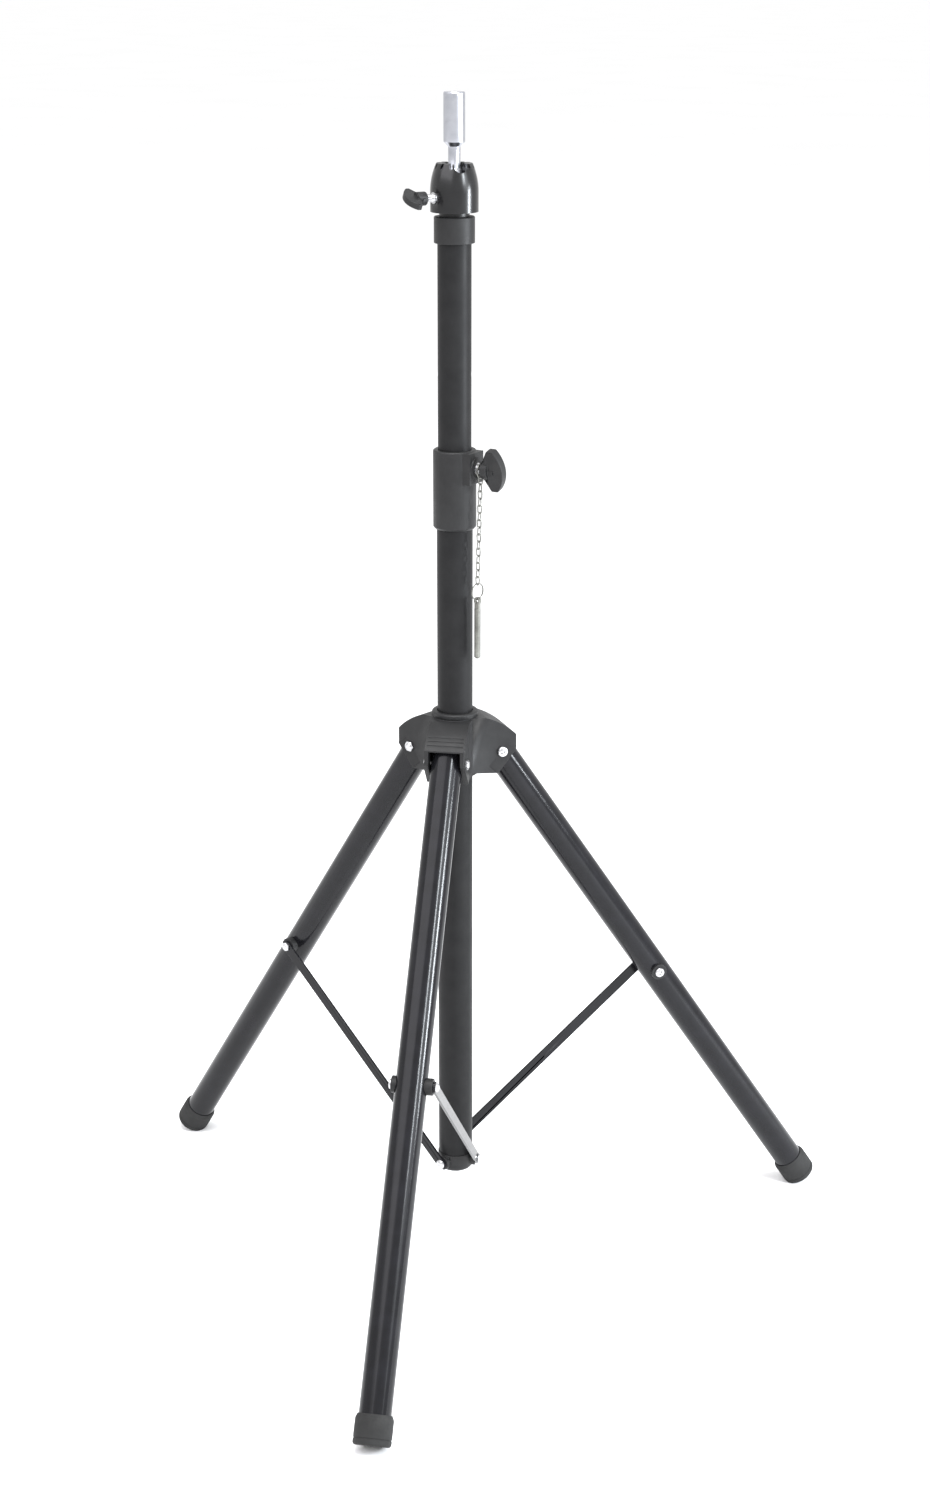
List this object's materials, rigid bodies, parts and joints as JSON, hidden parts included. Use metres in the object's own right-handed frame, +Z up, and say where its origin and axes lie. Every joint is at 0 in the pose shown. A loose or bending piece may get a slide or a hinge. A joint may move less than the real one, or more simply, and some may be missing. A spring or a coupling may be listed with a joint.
{
  "type": "tripod stand",
  "caption": "Folding tripod stand with a telescoping column, braced tubular legs, clamp knobs, a chained safety pin and a swivelling, tilting head pin.",
  "frame": {"origin": "middle of the footprint's bounding box, on the floor; the column's own axis stands 108.7 mm from it along +Y", "axes": "+Z up along the column, leg 1 points along -Y, legs 2 and 3 point 30 and 150 degrees from +X"},
  "size_m": [0.7956, 0.6944, 1.2866],
  "materials": {
    "tube_black": "smooth gloss black powder coat on steel tube and flat bar",
    "mast_black": "satin black coat on steel tube, faint rub marks from sliding",
    "plastic_black": "fine-grained moulded black nylon",
    "gloss_black": "gloss black enamel on a turned casting",
    "rubber": "matte black moulded rubber",
    "bright_steel": "bright zinc-plated steel",
    "zinc_chain": "nickel-plated steel wire",
    "pin_aluminium": "satin turned aluminium",
    "stem_black": "satin black enamel",
    "insert_brass": "turned brass",
    "nylon": "natural white nylon"
  },
  "bodies": {
    "column": {"lower_tube": "tube_black", "column_foot": "plastic_black", "clamp_collar": "plastic_black", "clamp_insert": "bright_steel"},
    "clamp_pad": {"clamp_pad": "insert_brass"},
    "clamp_knob": {"clamp_screw": "bright_steel", "clamp_knob": "plastic_black"},
    "mast": {"upper_tube": "mast_black", "upper_tube_guide": "nylon", "top_collar": "plastic_black", "head_stem": "stem_black", "stem_screw": "bright_steel", "stem_washer": "bright_steel"},
    "head": {"head_housing": "gloss_black", "ball_seat": "nylon", "head_insert": "bright_steel"},
    "head_pad": {"head_pad": "insert_brass"},
    "head_knob": {"head_screw": "bright_steel", "head_knob": "plastic_black"},
    "pin": {"head_pin": "pin_aluminium"},
    "hub": {"leg_hub": "plastic_black", "pivot_bolts": "bright_steel", "pivot_nuts": "bright_steel", "hub_insert": "insert_brass"},
    "hub_pad": {"hub_pad": "insert_brass"},
    "hub_knob": {"hub_screw": "bright_steel", "hub_knob": "plastic_black"},
    "leg_1": {"leg_tube_1": "tube_black", "leg_plug_1": "plastic_black", "rubber_foot_1": "rubber", "brace_bolt_1": "bright_steel", "brace_nut_1": "bright_steel", "brace_spacers_1": "plastic_black"},
    "brace_1": {"brace_1": "tube_black", "foot_rivet_1": "bright_steel"},
    "leg_2": {"leg_tube_2": "tube_black", "leg_plug_2": "plastic_black", "rubber_foot_2": "rubber", "brace_bolt_2": "bright_steel", "brace_nut_2": "bright_steel", "brace_spacers_2": "plastic_black"},
    "brace_2": {"brace_2": "tube_black", "foot_rivet_2": "bright_steel"},
    "leg_3": {"leg_tube_3": "tube_black", "leg_plug_3": "plastic_black", "rubber_foot_3": "rubber", "brace_bolt_3": "bright_steel", "brace_nut_3": "bright_steel", "brace_spacers_3": "plastic_black"},
    "brace_3": {"brace_3": "tube_black", "foot_rivet_3": "bright_steel"},
    "chain": {"chain_loop": "zinc_chain", "chain_links": "zinc_chain"},
    "split_ring": {"split_ring": "zinc_chain"},
    "safety_pin": {"safety_pin": "zinc_chain"}
  },
  "joints": [
    {"name": "hub_slide", "type": "slide", "parent": "column", "child": "hub", "axis": [0, 0, 1], "range_m": [0, 0.16691]},
    {"name": "leg_fold_1", "type": "hinge", "parent": "hub", "child": "leg_1", "pos_m": [0, 0.06182, 0.59424], "axis": [1, 0, 0], "range_deg": [0, 33.97]},
    {"name": "brace_fold_1", "type": "hinge", "parent": "leg_1", "child": "brace_1", "pos_m": [0, -0.13125, 0.30747], "axis": [1, 0, 0], "range_deg": [-75.22, 0]},
    {"name": "leg_fold_2", "type": "hinge", "parent": "hub", "child": "leg_2", "pos_m": [0.04062, 0.13217, 0.59424], "axis": [-0.5, 0.866, 0], "range_deg": [0, 33.97]},
    {"name": "brace_fold_2", "type": "hinge", "parent": "leg_2", "child": "brace_2", "pos_m": [0.20781, 0.2287, 0.30747], "axis": [-0.5, 0.866, 0], "range_deg": [-75.22, 0]},
    {"name": "leg_fold_3", "type": "hinge", "parent": "hub", "child": "leg_3", "pos_m": [-0.04062, 0.13217, 0.59424], "axis": [-0.5, -0.866, 0], "range_deg": [0, 33.97]},
    {"name": "brace_fold_3", "type": "hinge", "parent": "leg_3", "child": "brace_3", "pos_m": [-0.20781, 0.2287, 0.30747], "axis": [-0.5, -0.866, 0], "range_deg": [-75.22, 0]},
    {"name": "mast_slide", "type": "slide", "parent": "column", "child": "mast", "axis": [0, 0, 1], "range_m": [-0.21, 0.12]},
    {"name": "clamp_travel", "type": "slide", "parent": "column", "child": "clamp_pad", "axis": [0.9397, -0.342, 0], "range_m": [0, 0.0025]},
    {"name": "clamp_turn", "type": "hinge", "parent": "clamp_pad", "child": "clamp_knob", "pos_m": [0.02819, 0.09846, 0.907], "axis": [0.9397, -0.342, 0], "range_deg": [0, 721]},
    {"name": "head_swivel", "type": "hinge", "parent": "mast", "child": "head", "pos_m": [0, 0.10872, 1.2035], "axis": [0, 0, 1], "continuous": true},
    {"name": "head_clamp_travel", "type": "slide", "parent": "head", "child": "head_pad", "axis": [-0.7314, -0.682, 0], "range_m": [0, 0.00125]},
    {"name": "head_clamp_turn", "type": "hinge", "parent": "head_pad", "child": "head_knob", "pos_m": [-0.02194, 0.08826, 1.1833], "axis": [-0.7314, -0.682, 0], "range_deg": [0, 361]},
    {"name": "pin_tilt", "type": "hinge", "parent": "head", "child": "pin", "pos_m": [0, 0.10872, 1.2035], "axis": [0.8572, 0.515, 0], "range_deg": [0, 60]},
    {"name": "hub_clamp_travel", "type": "slide", "parent": "hub", "child": "hub_pad", "axis": [0, 1, 0], "range_m": [0, 0.0025]},
    {"name": "hub_clamp_turn", "type": "hinge", "parent": "hub_pad", "child": "hub_knob", "pos_m": [0, 0.13872, 0.588], "axis": [0, 1, 0], "range_deg": [0, 721]},
    {"name": "chain_swing", "type": "hinge", "parent": "column", "child": "chain", "pos_m": [0.02951, 0.09798, 0.907], "axis": [0.9397, -0.342, 0], "range_deg": [-60, 60]},
    {"name": "ring_swing", "type": "hinge", "parent": "chain", "child": "split_ring", "pos_m": [0.02737, 0.09292, 0.78363], "axis": [0.866, -0.5, 0], "range_deg": [-40, 40]},
    {"name": "safety_pin_swing", "type": "hinge", "parent": "split_ring", "child": "safety_pin", "pos_m": [0.02737, 0.09292, 0.76803], "axis": [0.5, 0.866, 0], "range_deg": [-60, 5]}
  ],
  "couplings": [
    {"joint": "leg_fold_1", "follows": "hub_slide", "rad_per_m": 3.5501},
    {"joint": "brace_fold_1", "follows": "hub_slide", "rad_per_m": -7.8638},
    {"joint": "leg_fold_2", "follows": "hub_slide", "rad_per_m": 3.5501},
    {"joint": "brace_fold_2", "follows": "hub_slide", "rad_per_m": -7.8638},
    {"joint": "leg_fold_3", "follows": "hub_slide", "rad_per_m": 3.5501},
    {"joint": "brace_fold_3", "follows": "hub_slide", "rad_per_m": -7.8638},
    {"joint": "clamp_turn", "follows": "clamp_travel", "rad_per_m": 5026.5},
    {"joint": "head_clamp_turn", "follows": "head_clamp_travel", "rad_per_m": 5026.5},
    {"joint": "hub_clamp_turn", "follows": "hub_clamp_travel", "rad_per_m": 5026.5}
  ]
}
